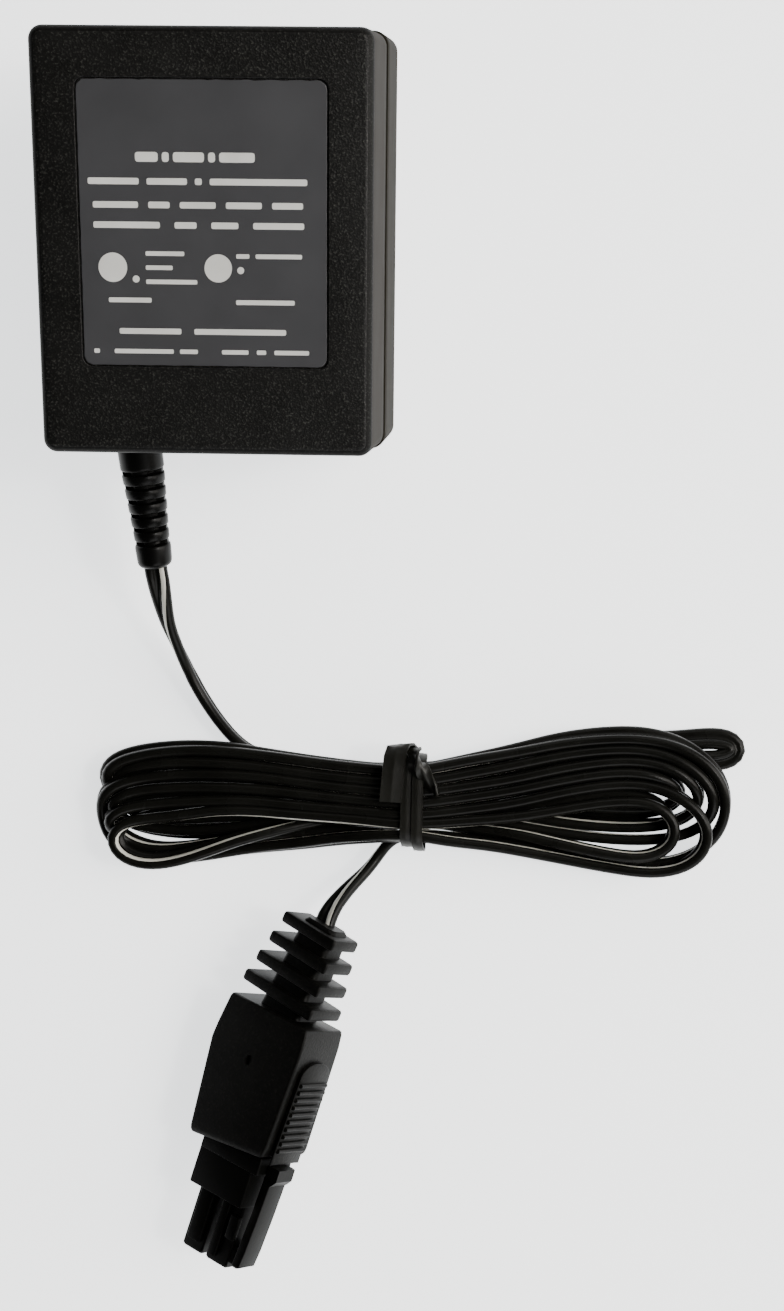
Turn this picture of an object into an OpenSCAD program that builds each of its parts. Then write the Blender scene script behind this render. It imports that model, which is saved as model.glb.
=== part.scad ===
// Plug-in power adapter: a transformer in a two-shell case with two wall blades,
// a ribbed strain relief, a flat two-core cord folded in a hank and tied,
// and an overmoulded two-way plug with a side latch.
// The case lies on its back, carried by its lower rear edge and the tips of the blades.
// +Z is up, the cord runs towards -Y, and the origin is under the middle of the case.

/* [Case] */
// Width of the front face
face_w = 54; // [52:0.5:58]
// Height of the front face
face_h = 66.4; // [64:0.2:72]
// Depth from the wall side to the front face
depth = 44; // [42:0.5:48]
// Depth of the front shell
front_d = 21; // [19:0.5:23]
// Draft of the side walls in degrees
draft = 3.2; // [2:0.1:3.6]
// How far the rear shell stands proud of the front shell at the seam
seam_step = 0.25; // [0.1:0.05:0.4]
// Wall thickness of both shells
wall = 2.2; // [1.8:0.1:2.4]
// Radius of the edges around the front face
edge_r = 1.9; // [1.2:0.1:2.4]

/* [Label] */
// Width of the rating label
label_w = 39.4; // [34:0.2:42]
// Height of the rating label
label_h = 44.2; // [40:0.2:48]
// Thickness of the label
label_t = 0.3; // [0.2:0.05:0.5]

/* [Blades] */
// Distance between the middle planes of the two blades
blade_pitch = 12.7; // [12.6:0.1:12.8]
// Thickness of each blade
blade_t = 1.5; // [1.4:0.05:1.6]
// Length of each blade outside the case
blade_len = 17; // [16:0.5:18]
// Width of the line blade
line_w = 6.35; // [6.2:0.05:6.5]
// Width of the neutral blade
neutral_w = 7.9; // [7.7:0.1:8.1]
// Diameter of the hole near each blade's tip
blade_hole = 3.2; // [3:0.1:3.4]

/* [Transformer] */
// Length of the laminations across the case
core_w = 48; // [46:1:48]
// Thickness of the lamination stack
stack = 20; // [18:1:21]

/* [Cord] */
// Width of the flat cord
cord_w = 4.2; // [4:0.1:4.4]
// Thickness of the flat cord
cord_t = 2.1; // [2:0.05:2.2]
// Height of the tied hank
hank_h = 9; // [8.8:0.1:10]

/* [Plug] */
// Width of the plug's moulded body
plug_w = 18; // [17:0.5:19]
// Thickness of the plug's moulded body
plug_t = 12; // [11:0.5:13]
// Roll of the plug about its own length in degrees
plug_roll = 32; // [28:1:36]
// Turn of the plug away from -Y in degrees
plug_yaw = 16.7; // [14:0.1:19]

/* [Hidden] */

eps = 0.01;
seam = depth - front_d;                       // height of the seam above the wall side
function grow(w) = (depth - w) * tan(draft);  // how much a side has moved out at height w
rear_grow = grow(0);
// Half height of the wall side, and where the blades stand on it
rear_hh = face_h / 2 + rear_grow;
blade_y = 26.6;
tip_cut = 1.2;
// The case leans until its lower rear edge and the blade tips touch the same plane
lean_a = blade_y - neutral_w / 2 + tip_cut + rear_hh;
tilt = atan(blade_len / lean_a);
shift_z = rear_hh * sin(tilt);
// Middle of the case along Y, so that the origin is under it
y_low = -(face_h / 2) * cos(tilt) - depth * sin(tilt);
y_high = (blade_y + neutral_w / 2) * cos(tilt) + (blade_len - tip_cut) * sin(tilt);
shift_y = -(y_low + y_high) / 2 - 0.539;

module posed() translate([0, shift_y, shift_z]) rotate([tilt, 0, 0]) children();

// A shell slab between two heights, each end a rounded rectangle
module slab(w0, w1, hw0, hh0, hw1, hh1, r) {
    hull() {
        for (sx = [-1, 1], sy = [-1, 1]) {
            translate([sx * (hw0 - r), sy * (hh0 - r), w0]) cylinder(r = r, h = eps, $fn = 32);
            translate([sx * (hw1 - r), sy * (hh1 - r), w1 - eps]) cylinder(r = r, h = eps, $fn = 32);
        }
    }
}

module round_rect(w, h, r) {
    square([w - 2 * r, h], center = true);
    square([w, h - 2 * r], center = true);
    for (sx = [-1, 1], sy = [-1, 1])
        translate([sx * (w / 2 - r), sy * (h / 2 - r)]) circle(r = r, $fn = 32);
}

// Where the strain relief passes the lower wall
relief_x = -15.2;
relief_d = 7.9;
relief_len = 21.5;
relief_yaw = 5.4;
relief_pitch = 3;
module at_relief() translate([relief_x, -face_h / 2 - grow(seam), seam]) children();

module relief_pocket() {
    at_relief() rotate([-90, 0, 0]) {
        translate([0, 0, -1]) cylinder(d = relief_d + 0.1, h = 8, $fn = 48);
        translate([0, 0, 1.1]) cylinder(d = relief_d + 3.1, h = 1.7, $fn = 48);
    }
}

module front_cover() color([0.10, 0.095, 0.09]) posed() {
    difference() {
        hull() {
            for (sx = [-1, 1], sy = [-1, 1]) {
                translate([sx * (face_w / 2 + grow(seam) - 2.2), sy * (face_h / 2 + grow(seam) - 2.2), seam])
                    cylinder(r = 2.2, h = 0.2, $fn = 32);
                // the rounded edge of the front face, in steps
                for (a = [0, 30, 60, 85])
                    translate([sx * (face_w / 2 - edge_r - 0.3), sy * (face_h / 2 - edge_r - 0.3),
                        depth - edge_r + edge_r * sin(a) / sin(85) - 0.02])
                        cylinder(r = 0.3 + edge_r * cos(a), h = 0.02, $fn = 32);
            }
        }
        slab(seam + 1, depth - wall, face_w / 2 + grow(seam) - wall - 0.1, face_h / 2 + grow(seam) - wall - 0.1,
            face_w / 2 - wall, face_h / 2 - wall, 1.1);
        // Rebate for the rear shell's rim
        translate([0, 0, seam - 1]) linear_extrude(4.2)
            round_rect(face_w + 2 * grow(seam) - 2.2, face_h + 2 * grow(seam) - 2.2, 1.4);
        // Recess for the label
        translate([0, label_y, depth - label_t - 0.15]) linear_extrude(2)
            round_rect(label_w + 1.1, label_h + 1.1, 1.8);
        relief_pocket();
    }
    // Ribs that press the laminations down
    for (sx = [-1, 1], sy = [-1, 1])
        translate([sx * 21.2 - 1, core_y + sy * 11 - 4, seam + stack / 2 - 1 + 0.05])
            cube([2, 8, depth - wall + 0.5 - (seam + stack / 2 - 1 + 0.05)]);
}

module rear_cover() color([0.11, 0.105, 0.10]) posed() {
    difference() {
        union() {
            slab(0, seam, face_w / 2 + rear_grow, rear_hh,
                face_w / 2 + grow(seam) + seam_step, face_h / 2 + grow(seam) + seam_step, 2.6);
            // Rim that locates the front shell
            translate([0, 0, seam - 2]) linear_extrude(5)
                round_rect(face_w + 2 * grow(seam) - 2.4, face_h + 2 * grow(seam) - 2.4, 1.3);
        }
        slab(wall, seam + 4, face_w / 2 + rear_grow - wall - 0.4, rear_hh - wall - 0.4,
            face_w / 2 + grow(seam) - 2.4, face_h / 2 + grow(seam) - 2.4, 1);
        // Slots for the blades, a close fit all round
        for (s = [-1, 1])
            translate([s * blade_pitch / 2, blade_y, -1]) linear_extrude(wall + 2)
                square([blade_t + 0.1, (s < 0 ? line_w : neutral_w) + 0.1], center = true);
        relief_pocket();
    }
    // Ribs under the laminations
    for (sx = [-1, 1], sy = [-1, 1])
        translate([sx * 21.2 - 1, core_y + sy * 11 - 4, wall - 0.5])
            cube([2, 8, seam - stack / 2 - 1 - 0.05 - wall + 0.5]);
    // Two posts that hold the blade carrier
    for (sx = [-1, 1])
        translate([sx * 15, blade_y, wall - 0.5]) cylinder(d = 3, h = 5, $fn = 32);
}

label_y = 3.2;
module rating_label() color([0.26, 0.26, 0.265]) posed()
    translate([0, label_y, depth - label_t - 0.15]) linear_extrude(label_t)
        round_rect(label_w, label_h, 1.5);

// A wall blade: flat strip with a cut tip and a hole, on an inner foot with a solder tab
module blade(bw) {
    difference() {
        rotate([90, 0, 90]) linear_extrude(blade_t, center = true)
            polygon([[-bw / 2, 7.4], [-bw / 2, -blade_len + tip_cut], [-bw / 2 + tip_cut, -blade_len],
                [bw / 2 - tip_cut, -blade_len], [bw / 2, -blade_len + tip_cut], [bw / 2, 7.4],
                [1.5, 7.4], [1.5, 10], [-1.5, 10], [-1.5, 7.4]]);
        translate([0, 0, -blade_len + 5]) rotate([0, 90, 0])
            cylinder(d = blade_hole, h = 4, center = true, $fn = 36);
    }
}
module blade_line() color([0.78, 0.74, 0.62]) posed()
    translate([-blade_pitch / 2, blade_y, 0]) blade(line_w);
module blade_neutral() color([0.78, 0.74, 0.62]) posed()
    translate([blade_pitch / 2, blade_y, 0]) blade(neutral_w);

// Insulating plate that locks the blades against the rear wall
module blade_carrier() color([0.16, 0.15, 0.14]) posed() {
    difference() {
        translate([-18, blade_y - 5.6, wall + 0.02]) cube([36, 10, 4]);
        for (s = [-1, 1])
            translate([s * blade_pitch / 2, blade_y, 0]) linear_extrude(12)
                square([blade_t + 0.06, (s < 0 ? line_w : neutral_w) + 0.06], center = true);
        for (sx = [-1, 1])
            translate([sx * 15, blade_y, 0]) cylinder(d = 3.1, h = 12, $fn = 32);
    }
}

// Laminations: E stack closed by an I stack, centre leg along the case's height
core_y = -4;
leg = core_w / 6;
core_z = seam - 1;
module core_e_stack() color([0.45, 0.45, 0.47]) posed()
    translate([0, core_y, core_z - stack / 2]) linear_extrude(stack) difference() {
        translate([-3 * leg, -2.5 * leg]) square([6 * leg, 4 * leg]);
        for (s = [-1, 1]) translate([s * 1.5 * leg - leg / 2, -1.5 * leg]) square([leg, 3 * leg + 1]);
    }
module core_i_stack() color([0.45, 0.45, 0.47]) posed()
    translate([-3 * leg, core_y + 1.5 * leg + 0.05, core_z - stack / 2]) cube([6 * leg, leg, stack]);

// Bobbin: a square tube with two end flanges and one between the windings
bob_wall = 1;
module bobbin() color([0.85, 0.83, 0.76]) posed()
    translate([0, core_y, core_z]) difference() {
        union() {
            translate([-leg - bob_wall - 0.15, -1.5 * leg + 0.15, -stack / 2 - bob_wall - 0.15])
                cube([2 * (leg + bob_wall + 0.15), 3 * leg - 0.3, stack + 2 * (bob_wall + 0.15)]);
            for (y = [-1.5 * leg + 0.15, -0.6, 1.5 * leg - 1.35])
                translate([-2 * leg + 0.3, y, -stack / 2 - 7.6])
                    cube([4 * leg - 0.6, 1.2, stack + 15.2]);
        }
        translate([-leg - 0.15, -20, -stack / 2 - 0.15]) cube([2 * (leg + 0.15), 40, stack + 0.3]);
    }

// A winding: a rounded rectangular ring that fills one chamber of the bobbin
module winding(y0, y1, build) {
    iw = 2 * (leg + bob_wall + 0.2);
    ih = stack + 2 * (bob_wall + 0.2);
    translate([0, core_y + y1, core_z]) rotate([90, 0, 0]) linear_extrude(y1 - y0) difference() {
        round_rect(iw + 2 * build, ih + 2 * build, 2);
        square([iw, ih], center = true);
    }
}
module primary_winding() color([0.70, 0.36, 0.18]) posed() winding(0.65, 1.5 * leg - 1.4, 5.4);
module secondary_winding() color([0.72, 0.40, 0.20]) posed() winding(-1.5 * leg + 1.4, -0.65, 5.4);

module tape(y0, y1) {
    iw = 2 * (leg + bob_wall + 0.2) + 2 * 5.42;
    ih = stack + 2 * (bob_wall + 0.2) + 2 * 5.42;
    translate([0, core_y + y1, core_z]) rotate([90, 0, 0]) linear_extrude(y1 - y0) difference() {
        round_rect(iw + 0.6, ih + 0.6, 2.3);
        round_rect(iw, ih, 2);
    }
}
module primary_tape() color([0.92, 0.78, 0.22]) posed() tape(0.65, 1.5 * leg - 1.4);
module secondary_tape() color([0.92, 0.78, 0.22]) posed() tape(-1.5 * leg + 1.4, -0.65);

// Terminal pins stand on the bobbin's flanges, on the front side
module pin_pair(y0, len) for (s = [-1, 1])
    translate([s * 10, core_y + y0, core_z + stack / 2 + 6]) rotate([-90, 0, 0])
        cylinder(d = 1, h = len, $fn = 24);
module primary_terminals() color([0.80, 0.80, 0.78]) posed() pin_pair(1.5 * leg - 0.13, 10);
module secondary_terminals() color([0.80, 0.80, 0.78]) posed() pin_pair(-1.5 * leg - 9.87, 10);

// A one-shot thermal fuse lies along the line side of the primary winding
module thermal_fuse() color([0.83, 0.80, 0.70]) posed()
    translate([-20, core_y + 2.5 * leg + 5.5, core_z + 4]) rotate([0, 90, 0]) {
        cylinder(d = 3.4, h = 9.5, $fn = 32);
        translate([0, 0, -1.8]) cylinder(d = 0.9, h = 13, $fn = 24);
    }

// ---- swept cords and wires ----
function unit(v) = v / norm(v);
function rot2(a, b, r) = a * cos(r) + b * sin(r);
// Tangent at point i of a route whose points start with x, y, z
function xyz(p) = [p[0], p[1], p[2]];
function tan_at(P, i) = unit(xyz(P[min(i + 1, len(P) - 1)]) - xyz(P[max(i - 1, 0)]));
// Point on a smooth curve through the route's own points, t in segments
function cr(a, b, c, d, t) = 0.5 * ((2 * b) + (c - a) * t + (2 * a - 5 * b + 4 * c - d) * t * t
    + (3 * b - a - 3 * c + d) * t * t * t);
function smooth(P, k) = concat([for (i = [0:len(P) - 2], j = [0:k - 1])
    cr(P[max(i - 1, 0)], P[i], P[i + 1], P[min(i + 2, len(P) - 1)], j / k)], [P[len(P) - 1]]);
// One ring of a section with 8 sides, wide by thick, turned by the point's roll
function ring(P, i, w, t, ref) = let(T = tan_at(P, i), S = unit(cross(T, ref)), N = cross(S, T),
    r = len(P[i]) > 3 ? P[i][3] : 0, A = rot2(S, N, r), B = rot2(N, -S, r))
    [for (q = [[1, 0.35], [0.7, 1], [-0.7, 1], [-1, 0.35], [-1, -0.35], [-0.7, -1], [0.7, -1], [1, -0.35]])
        xyz(P[i]) + A * q[0] * w / 2 + B * q[1] * t / 2];
module sweep(route, w, t, k = 3, ref = [0, 0, 1]) {
    P = smooth(route, k);
    n = len(P);
    points = [for (i = [0:n - 1]) each ring(P, i, w, t, ref)];
    faces = concat([[for (j = [7:-1:0]) j]], [[for (j = [0:7]) (n - 1) * 8 + j]],
        [for (i = [0:n - 2], j = [0:7]) let(a = i * 8 + j, b = i * 8 + (j + 1) % 8) each [[a, b + 8, a + 8], [a, b, b + 8]]]);
    polyhedron(points = points, faces = faces, convexity = 6);
}

// Insulated wires inside the case, in the case's own frame
module lead_line() color([0.12, 0.12, 0.12]) posed()
    sweep([[-10, 18.2, 38], [-11, 20.5, 35], [-9.2, 23, 24], [-7.4, 25.4, 14], [-6.35, 26.6, 10.1]], 1.3, 1.3, 3, [1, 0, 0]);
module lead_neutral() color([0.85, 0.85, 0.83]) posed()
    sweep([[10, 18.2, 38], [11, 20.5, 35], [9.2, 23, 24], [7.4, 25.4, 14], [6.35, 26.6, 10.1]], 1.3, 1.3, 3, [1, 0, 0]);
module lead_secondary_1() color([0.12, 0.12, 0.12]) posed()
    sweep([[-10, -26, 38], [-12, -28.6, 35], [-15, -29.2, 30], [-16.4, -29.4, 26], [-16.4, -30.2, 23.4], [-16.4, -31, 23]], 1.3, 1.3, 3, [1, 0, 0]);
module lead_secondary_2() color([0.12, 0.12, 0.12]) posed()
    sweep([[10, -26, 38], [6, -29, 34], [-4, -29.2, 29], [-12, -29.4, 25.4], [-13.8, -30.2, 23.4], [-14, -31, 23]], 1.3, 1.3, 3, [0, 0, 1]);

// ---- strain relief: inner flange, cuff, and a tapered sleeve cut by pairs of side slots ----
ribs = 7;
module strain_relief() color([0.07, 0.07, 0.07]) posed() at_relief() {
    rotate([-90, 0, 0]) {
        translate([0, 0, 1.2]) cylinder(d = relief_d + 2.9, h = 1.5, $fn = 48);
        translate([0, 0, -0.6]) cylinder(d = relief_d - 0.9, h = 4.5, $fn = 48);
    }
    rotate([relief_pitch, 0, relief_yaw]) rotate([90, 0, 0]) difference() {
        rotate_extrude($fn = 48) polygon([[0, 0.1], [relief_d / 2, 0.1], [relief_d / 2 - 0.1, 4.5],
            [3.3, relief_len - 1.2], [2.7, relief_len - 0.3], [2.2, relief_len], [0, relief_len]]);
        for (i = [0:ribs - 2], s = [-1, 1])
            translate([s * 3.6 - 3, -5, 5.2 + i * 2.4]) cube([6, 10, 0.85]);
    }
}

// ---- cord outside the case: route points are x, y, z and roll ----
lead_route = [[-13.4, -54, 15.4, 0], [-13, -57.4, 14.1, 8], [-12.4, -61.5, 11.8, 45], [-11.6, -65.8, 9, 80],
    [-10.2, -69.4, 6.4, 90], [-8, -74.8, 3.6, 90], [-5, -80.2, 2.3, 90], [-1.3, -85.3, 2.2, 90], [2, -89.4, 2.2, 90]];
tail_route = [[30.6, -104.6, 2.2, 90], [28.9, -107.6, 2.4, 90], [26, -110.6, 3.4, 86], [22.9, -113.6, 5.6, 74], [20.6, -116.2, 7.9, 58],
    [19.2, -118.6, 9.3, 40], [18.5, -120.8, 9.8, 32]];
module cord_lead() color([0.06, 0.06, 0.06]) sweep(lead_route, cord_w, cord_t, 3);
module cord_tail() color([0.06, 0.06, 0.06]) sweep(tail_route, cord_w, cord_t, 3);

tie_x = 34.4;
// Outline of the tied hank, seen from above
hank_outline = [[-23.6, -96.5], [-22.4, -93], [-18, -89.8], [-12, -88.2], [-4, -87.6], [6, -88.2], [18, -89.8], [30, -90.8],
    [37, -90.4], [46, -88.6], [56, -85.6], [66, -83.2], [76, -82.4], [88, -83], [93.4, -83.8], [95.6, -86.4], [95.4, -89.6],
    [93.8, -93], [94.2, -98.6], [92.6, -104], [88, -109], [81, -112], [72, -112.4], [60, -110.6], [46, -108.2],
    [36, -106.4], [30, -106], [18, -107.6], [4, -109.4], [-8, -111], [-16, -111.8], [-21.4, -109], [-24.2, -104], [-24.6, -100]];
module cord_hank() color([0.07, 0.07, 0.07]) difference() {
    linear_extrude(hank_h) polygon(hank_outline);
    // the tie passes under the cord
    translate([tie_x - 2.65, -110, -1]) cube([5.3, 24, 1.85]);
}

// Twist tie: a flat band around the hank's waist with its two ends twisted together
module twist_tie() color([0.13, 0.13, 0.12]) {
    difference() {
        translate([tie_x - 2.6, -107.8, 0]) cube([5.2, 18.6, 10.4]);
        translate([tie_x - 4, -106.8, 0.8]) cube([8, 16.7, hank_h - 0.75]);
    }
    // the twisted ends, bent down on the side towards the case
    translate([tie_x - 6.4, -98.6, hank_h + 0.1]) cube([4.4, 10.6, 1.8]);
    translate([tie_x - 5.4, -89, 6]) cube([8.6, 2.2, 4.6]);
}

// ---- plug, in its own frame: nose tip at y = 0, cord end at +y, thickness along z ----
plug_z = (plug_w / 2) * sin(plug_roll) + (plug_t / 2) * cos(plug_roll) + 0.02;
module plug_posed() translate([-0.7, -180, plug_z]) rotate([0, 0, -plug_yaw]) rotate([0, -plug_roll, 0]) children();

body_y0 = 20;
body_y1 = 45;
module plug_overmould() color([0.08, 0.08, 0.08]) plug_posed() difference() {
    union() {
        hull() {
            translate([-plug_w / 2 + 1, body_y0, -plug_t / 2 + 1]) cube([plug_w - 2, 0.5, plug_t - 2]);
            translate([-plug_w / 2, body_y0 + 1, -plug_t / 2]) cube([plug_w, 22, plug_t]);
            translate([-plug_w / 2 + 0.5, body_y1 - 0.5, -plug_t / 2 + 0.4]) cube([plug_w - 1, 0.5, plug_t - 0.8]);
        }
        translate([-3.4, body_y1 - 1, -2.6]) rotate([0, 0, -5]) cube([7.2, 19.4, 5.2]);
        for (i = [0:3])
            translate([0.5 * i - 0.3, body_y1 + 4 + i * 4.2, 0]) rotate([0, 0, -7])
                translate([-8.2 + i * 0.7, -1.15, -4.9 + i * 0.3]) cube([16.4 - i * 1.4, 2.3, 9.8 - i * 0.6]);
    }
    // seats for the housing's rear end and the contact crimps
    translate([-plug_w / 2 + 2, body_y0 - 1, -plug_t / 2 + 2]) cube([plug_w - 4, 6, plug_t - 4]);
    for (s = [-1, 1]) translate([s * 2.7 - 1.25, body_y0, -1.25]) cube([2.5, 14, 2.5]);
}

module plug_housing() color([0.10, 0.10, 0.10]) plug_posed() difference() {
    union() {
        translate([-6.4, 11.5, -4.6]) cube([13.7, 8.4, 9.2]);
        translate([-6.3, 19, -plug_t / 2 + 2.05]) cube([13.2, 5.9, plug_t - 4.1]);
        for (s = [-1, 1]) translate([s * 2.75 - 2.3, 0, -2.4]) cube([4.6, 12, 4.8]);
        // latch arm along one side, with its hook
        translate([7, 1, -2.3]) cube([1.6, 17.5, 4.6]);
        translate([4.9, 1, -2.1]) cube([2.3, 3, 4.2]);
        translate([8.4, 16.8, -2.3]) cube([1.5, 2.6, 4.6]);
    }
    for (s = [-1, 1]) translate([s * 2.7, -1, 0]) rotate([-90, 0, 0]) cylinder(d = 2.8, h = 30, $fn = 32);
}

// Crimped sleeve contact
module contact() {
    difference() {
        rotate([-90, 0, 0]) cylinder(d = 2.5, h = 13, $fn = 32);
        translate([0, -1, 0]) rotate([-90, 0, 0]) cylinder(d = 2, h = 11, $fn = 32);
    }
    translate([-0.95, 13 - eps, -0.95]) cube([1.9, 16, 1.9]);
}
module plug_contact_1() color([0.80, 0.70, 0.42]) plug_posed() translate([-2.7, 1.5, 0]) contact();
module plug_contact_2() color([0.80, 0.70, 0.42]) plug_posed() translate([2.7, 1.5, 0]) contact();

front_cover();
rear_cover();
rating_label();
blade_line();
blade_neutral();
blade_carrier();
core_e_stack();
core_i_stack();
bobbin();
primary_winding();
secondary_winding();
primary_tape();
secondary_tape();
thermal_fuse();
primary_terminals();
secondary_terminals();
lead_line();
lead_neutral();
lead_secondary_1();
lead_secondary_2();
strain_relief();
cord_lead();
cord_hank();
cord_tail();
twist_tie();
plug_overmould();
plug_housing();
plug_contact_1();
plug_contact_2();
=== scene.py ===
import math
import random
import bmesh
import bpy
import numpy as np
from mathutils import Matrix, Vector


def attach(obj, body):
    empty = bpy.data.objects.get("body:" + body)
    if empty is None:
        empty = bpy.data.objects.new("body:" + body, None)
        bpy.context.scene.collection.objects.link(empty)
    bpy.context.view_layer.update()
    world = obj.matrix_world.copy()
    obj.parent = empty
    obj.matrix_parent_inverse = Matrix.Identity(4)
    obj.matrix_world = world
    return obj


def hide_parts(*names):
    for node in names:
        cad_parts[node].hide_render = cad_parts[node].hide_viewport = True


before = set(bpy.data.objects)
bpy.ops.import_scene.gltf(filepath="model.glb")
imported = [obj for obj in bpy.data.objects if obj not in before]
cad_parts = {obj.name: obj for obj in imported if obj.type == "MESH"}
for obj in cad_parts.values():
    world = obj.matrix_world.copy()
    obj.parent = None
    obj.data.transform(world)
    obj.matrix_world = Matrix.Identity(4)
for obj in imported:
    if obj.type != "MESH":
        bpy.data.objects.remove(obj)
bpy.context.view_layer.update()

MM = 0.001
rnd = random.Random(11)

# ---------------------------------------------------------------- camera
cam_data = bpy.data.cameras.new("view_camera")
cam_data.sensor_fit = "AUTO"
cam_data.sensor_width = 36.0
cam_data.lens = 47.19
cam_data.clip_start = 0.01
cam_data.clip_end = 20
cam = bpy.data.objects.new("view_camera", cam_data)
bpy.context.scene.collection.objects.link(cam)
cam.location = (0.0388340, -0.0784629, 0.3227119)
cam.rotation_mode = "XYZ"
cam.rotation_euler = (0.02445, 0.0277, 0.01874)
bpy.context.scene.camera = cam


# ---------------------------------------------------------------- materials
def finish_mat(name, base, rough, grain=0.0, scale=2500.0, depth=0.00005, vary=0.25, vscale=120.0,
               metal=0.0, level=0.5, tint=None, rvary=0.06, fibre=None, speck=None):
    """A moulded surface: colour that drifts slightly, roughness that drifts, and a grain in bump."""
    m = bpy.data.materials.new(name)
    m.use_nodes = True
    nt = m.node_tree
    n, l = nt.nodes, nt.links
    b = n["Principled BSDF"]
    b.inputs["Metallic"].default_value = metal
    b.inputs["Specular IOR Level"].default_value = level
    if tint:
        b.inputs["Specular Tint"].default_value = tint + (1,)
    tc = n.new("ShaderNodeTexCoord")
    big = n.new("ShaderNodeTexNoise")
    big.inputs["Scale"].default_value = vscale
    big.inputs["Detail"].default_value = 3
    l.new(tc.outputs["Object"], big.inputs["Vector"])
    ramp = n.new("ShaderNodeValToRGB")
    ramp.color_ramp.elements[0].position = 0.3
    ramp.color_ramp.elements[1].position = 0.7
    ramp.color_ramp.elements[0].color = tuple(c * (1 - vary) for c in base) + (1,)
    ramp.color_ramp.elements[1].color = tuple(min(1, c * (1 + vary)) for c in base) + (1,)
    l.new(big.outputs["Fac"], ramp.inputs["Fac"])
    if not speck:
        l.new(ramp.outputs["Color"], b.inputs["Base Color"])
    mr = n.new("ShaderNodeMapRange")
    mr.inputs["To Min"].default_value = max(0.03, rough - rvary)
    mr.inputs["To Max"].default_value = min(1, rough + rvary)
    fine = n.new("ShaderNodeTexNoise")
    fine.inputs["Scale"].default_value = scale
    fine.inputs["Detail"].default_value = 4
    if fibre:
        mp = n.new("ShaderNodeMapping")
        mp.inputs["Scale"].default_value = fibre
        l.new(tc.outputs["Object"], mp.inputs["Vector"])
        l.new(mp.outputs["Vector"], fine.inputs["Vector"])
    else:
        l.new(tc.outputs["Object"], fine.inputs["Vector"])
    if speck:
        # fine light flecks of a spark-eroded mould surface
        sr = n.new("ShaderNodeMapRange")
        sr.inputs["From Min"].default_value = 0.54
        sr.inputs["From Max"].default_value = 0.72
        l.new(fine.outputs["Fac"], sr.inputs["Value"])
        mx = n.new("ShaderNodeMixRGB")
        mx.inputs["Color2"].default_value = speck + (1,)
        l.new(sr.outputs["Result"], mx.inputs["Fac"])
        l.new(ramp.outputs["Color"], mx.inputs["Color1"])
        l.new(mx.outputs["Color"], b.inputs["Base Color"])
    l.new(big.outputs["Fac"], mr.inputs["Value"])
    l.new(mr.outputs["Result"], b.inputs["Roughness"])
    if grain:
        bump = n.new("ShaderNodeBump")
        bump.inputs["Strength"].default_value = grain
        bump.inputs["Distance"].default_value = depth
        l.new(fine.outputs["Fac"], bump.inputs["Height"])
        l.new(bump.outputs["Normal"], b.inputs["Normal"])
    return m


M_CASE = finish_mat("case_plastic", (0.0034, 0.0034, 0.0031), 0.42, grain=1.0, scale=3000, depth=0.00011, vary=0.25,
                    level=0.24, speck=(0.034, 0.034, 0.031))
# Painted shade: a darker copy of the case plastic, with darker flecks and weaker reflection, for the front fillet so
# that it reads as unlit.
M_EDGE_PAINTED_SHADE = finish_mat("case_edge_painted_shade", (0.0038, 0.0038, 0.0035), 0.50, grain=0.6, scale=3000, depth=0.00006, vary=0.25,
                    level=0.09, speck=(0.016, 0.016, 0.0145))
# Painted reflection: the side walls get a lighter, warm-tinted copy of the black case plastic, standing in for the
# brownish surroundings they reflect.
M_SIDE_PAINTED_REFLECTION = finish_mat("case_side_painted_reflection", (0.0105, 0.0088, 0.0068), 0.70, grain=0.22, scale=3200, depth=0.00003, vary=0.12,
                    level=0.045, tint=(1.0, 0.86, 0.68))
# Painted reflection: the rear shell gets a lighter, warm-tinted copy of the black plastic, standing in for the brownish
# surroundings it reflects.
M_REAR_PAINTED_REFLECTION = finish_mat("case_rear_painted_reflection", (0.0090, 0.0078, 0.0055), 0.70, grain=0.22, scale=3000, depth=0.00003, vary=0.12,
                    level=0.040, tint=(1.0, 0.88, 0.68))
M_LABEL = finish_mat("label_film", (0.044, 0.0443, 0.0480), 0.40, grain=0.10, scale=1500, depth=0.00002, vary=0.05)
M_PRINT = finish_mat("label_ink", (0.66, 0.66, 0.63), 0.5, grain=0.05, scale=2500, depth=0.00001, vary=0.08)
M_RELIEF = finish_mat("relief_vinyl", (0.0020, 0.0020, 0.0018), 0.32, grain=0.12, scale=1800, depth=0.00004, vary=0.2,
                      level=0.10)
M_CORD = finish_mat("cord_vinyl", (0.0050, 0.0050, 0.0042), 0.27, grain=0.10, scale=700, depth=0.00005, vary=0.25,
                    level=0.10)
M_STRIPE = finish_mat("cord_stripe", (0.60, 0.59, 0.53), 0.40, grain=0.05, scale=700, depth=0.00003, vary=0.06)
M_TIE = finish_mat("tie_vinyl", (0.0055, 0.0055, 0.0040), 0.42, grain=0.35, scale=1600, depth=0.00006, vary=0.3,
                   level=0.26)
M_BOOT = finish_mat("plug_vinyl", (0.0012, 0.0012, 0.0009), 0.46, grain=0.6, scale=2200, depth=0.00008, vary=0.25,
                    level=0.10, speck=(0.006, 0.0055, 0.0045))
# Painted shade: the black nose nylon is darkened overall, with weaker reflection, so that the collar's side reads as
# shaded.
M_NOSE_PAINTED_SHADE = finish_mat("plug_nylon_painted_shade", (0.0010, 0.0010, 0.0008), 0.44, grain=0.4, scale=2600, depth=0.00005, vary=0.25,
                    level=0.05)
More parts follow.
